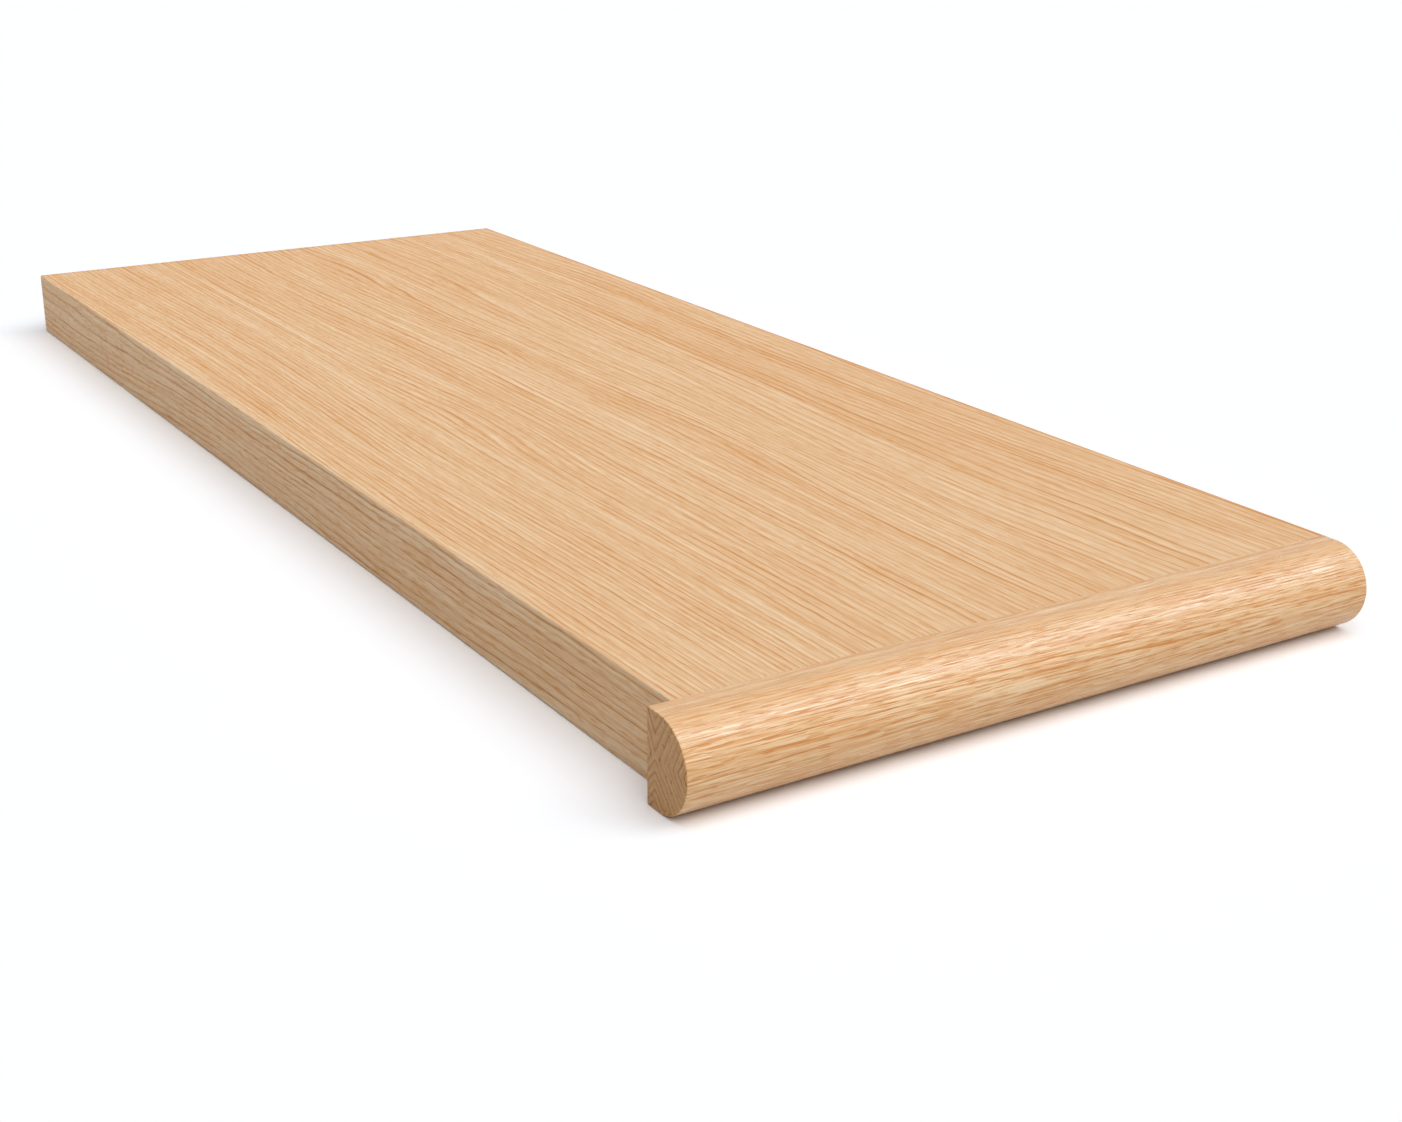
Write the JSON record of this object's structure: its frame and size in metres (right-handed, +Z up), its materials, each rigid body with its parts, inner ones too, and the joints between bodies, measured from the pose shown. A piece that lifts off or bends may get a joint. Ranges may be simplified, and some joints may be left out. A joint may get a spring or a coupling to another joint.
{
  "type": "stair tread",
  "caption": "Long square-edged oak stair tread with a half-round bullnose strip glued across its front end, standing slightly past one side.",
  "frame": {"origin": "centre of the bounding box, at the underside: the tread lies flat on the plane Z = 0", "axes": "X runs along the nosing, with the nosing's overhanging end at -X; +Y runs from the nosing to the board's back end; +Z is up, through the thickness"},
  "size_m": [0.288, 0.7, 0.032],
  "materials": {
    "board_oak": "oak with a thin satin lacquer, grain along the board",
    "nosing_oak": "oak with a thin satin lacquer, grain along the nosing"
  },
  "bodies": {
    "root": {"tread_board": "board_oak", "nosing": "nosing_oak"}
  },
  "joints": []
}
